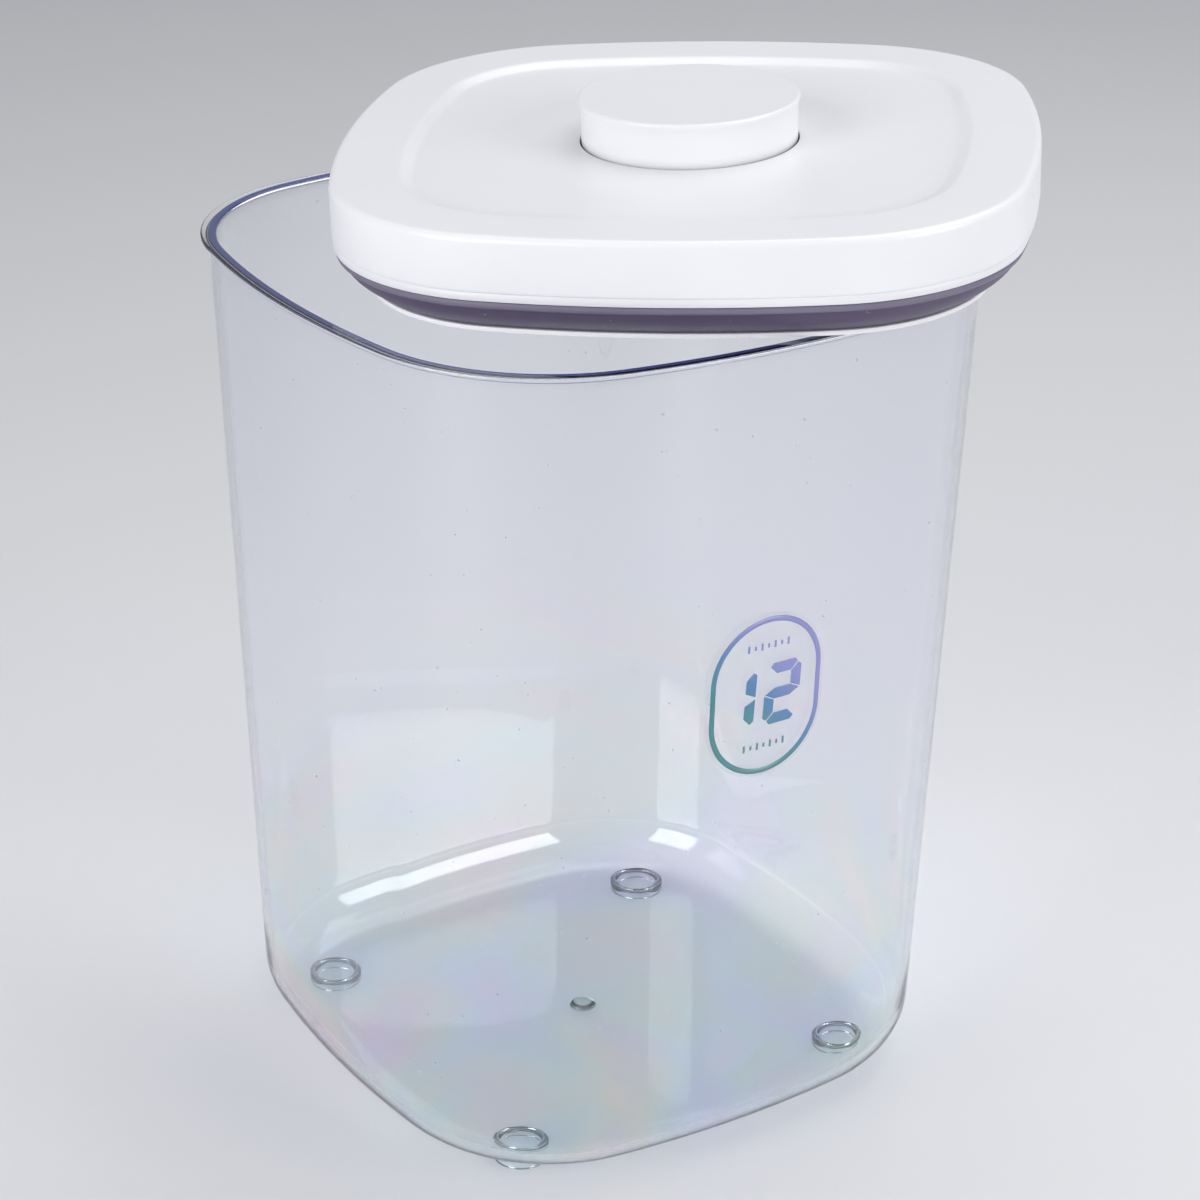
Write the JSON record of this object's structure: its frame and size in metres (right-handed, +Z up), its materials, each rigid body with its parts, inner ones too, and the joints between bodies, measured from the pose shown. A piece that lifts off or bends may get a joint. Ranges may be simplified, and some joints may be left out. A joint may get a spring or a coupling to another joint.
{
  "type": "pet food storage container",
  "caption": "Clear tapered rounded-square food storage tub with a loose push-button sealing lid lying askew on its rim.",
  "frame": {"origin": "on the floor under the middle of the tub", "axes": "+Z up, -Y out of the labelled front wall, +X to the right seen from the front"},
  "size_m": [0.2882, 0.2663, 0.3556],
  "materials": {
    "clear_plastic": "clear",
    "label_film": "printed film",
    "white_plastic": "satin",
    "frame_plastic": "satin",
    "button_plastic": "satin",
    "plate_plastic": "satin",
    "gasket_silicone": "matte",
    "inner_plastic": "moulded",
    "spring_steel": "drawn wire"
  },
  "bodies": {
    "tub": {"tub": "clear_plastic", "label": "label_film"},
    "lid": {"top_cover": "white_plastic", "lower_frame": "frame_plastic", "gasket": "gasket_silicone", "return_spring": "spring_steel", "lever_pins": "spring_steel"},
    "button": {"button": "button_plastic", "button_stem": "inner_plastic", "stem_screw": "spring_steel", "latch_blade": "inner_plastic"},
    "plate": {"pressure_plate": "plate_plastic"},
    "lever_1": {"lift_lever_1": "inner_plastic"},
    "lever_2": {"lift_lever_2": "inner_plastic"},
    "lever_3": {"lift_lever_3": "inner_plastic"},
    "lever_4": {"lift_lever_4": "inner_plastic"},
    "latch_pin": {"latch_pin": "spring_steel"}
  },
  "joints": [
    {"name": "lid_lift", "type": "slide", "parent": "tub", "child": "lid", "axis": [0, 0, 1], "range_m": [0, 0.15]},
    {"name": "button_press", "type": "slide", "parent": "lid", "child": "button", "axis": [0.0384, -0.0178, -0.9991], "range_m": [0, 0.013], "stiffness_N_per_m": 60, "springref_m": -0.012, "deforming": ["return_spring"]},
    {"name": "plate_lift", "type": "slide", "parent": "lid", "child": "plate", "axis": [-0.0384, 0.0178, 0.9991], "range_m": [0, 0.00418], "deforming": ["gasket"]},
    {"name": "lever_1_pivot", "type": "hinge", "parent": "lid", "child": "lever_1", "pos_m": [0.02977, 0.04173, 0.32775], "axis": [0.9937, 0.1062, 0.0363], "range_deg": [0, 55.52]},
    {"name": "lever_2_pivot", "type": "hinge", "parent": "lid", "child": "lever_2", "pos_m": [-0.01419, -0.01274, 0.32703], "axis": [-0.1055, 0.9942, -0.0218], "range_deg": [0, 55.52]},
    {"name": "lever_3_pivot", "type": "hinge", "parent": "lid", "child": "lever_3", "pos_m": [0.04022, -0.05669, 0.32991], "axis": [-0.9937, -0.1062, -0.0363], "range_deg": [0, 55.52]},
    {"name": "lever_4_pivot", "type": "hinge", "parent": "lid", "child": "lever_4", "pos_m": [0.08418, -0.00222, 0.33063], "axis": [0.1055, -0.9942, 0.0218], "range_deg": [0, 55.52]},
    {"name": "latch_pin_pivot", "type": "hinge", "parent": "lid", "child": "latch_pin", "pos_m": [0.04903, 0.00975, 0.32681], "axis": [0.628, 0.7781, 0.0103], "range_deg": [-4, 4], "stiffness_Nm_per_rad": 0.0005}
  ],
  "couplings": [
    {"joint": "plate_lift", "follows": "button_press", "ratio": 0.32146},
    {"joint": "lever_1_pivot", "follows": "button_press", "rad_per_m": 74.545},
    {"joint": "lever_2_pivot", "follows": "button_press", "rad_per_m": 74.545},
    {"joint": "lever_3_pivot", "follows": "button_press", "rad_per_m": 74.545},
    {"joint": "lever_4_pivot", "follows": "button_press", "rad_per_m": 74.545}
  ]
}
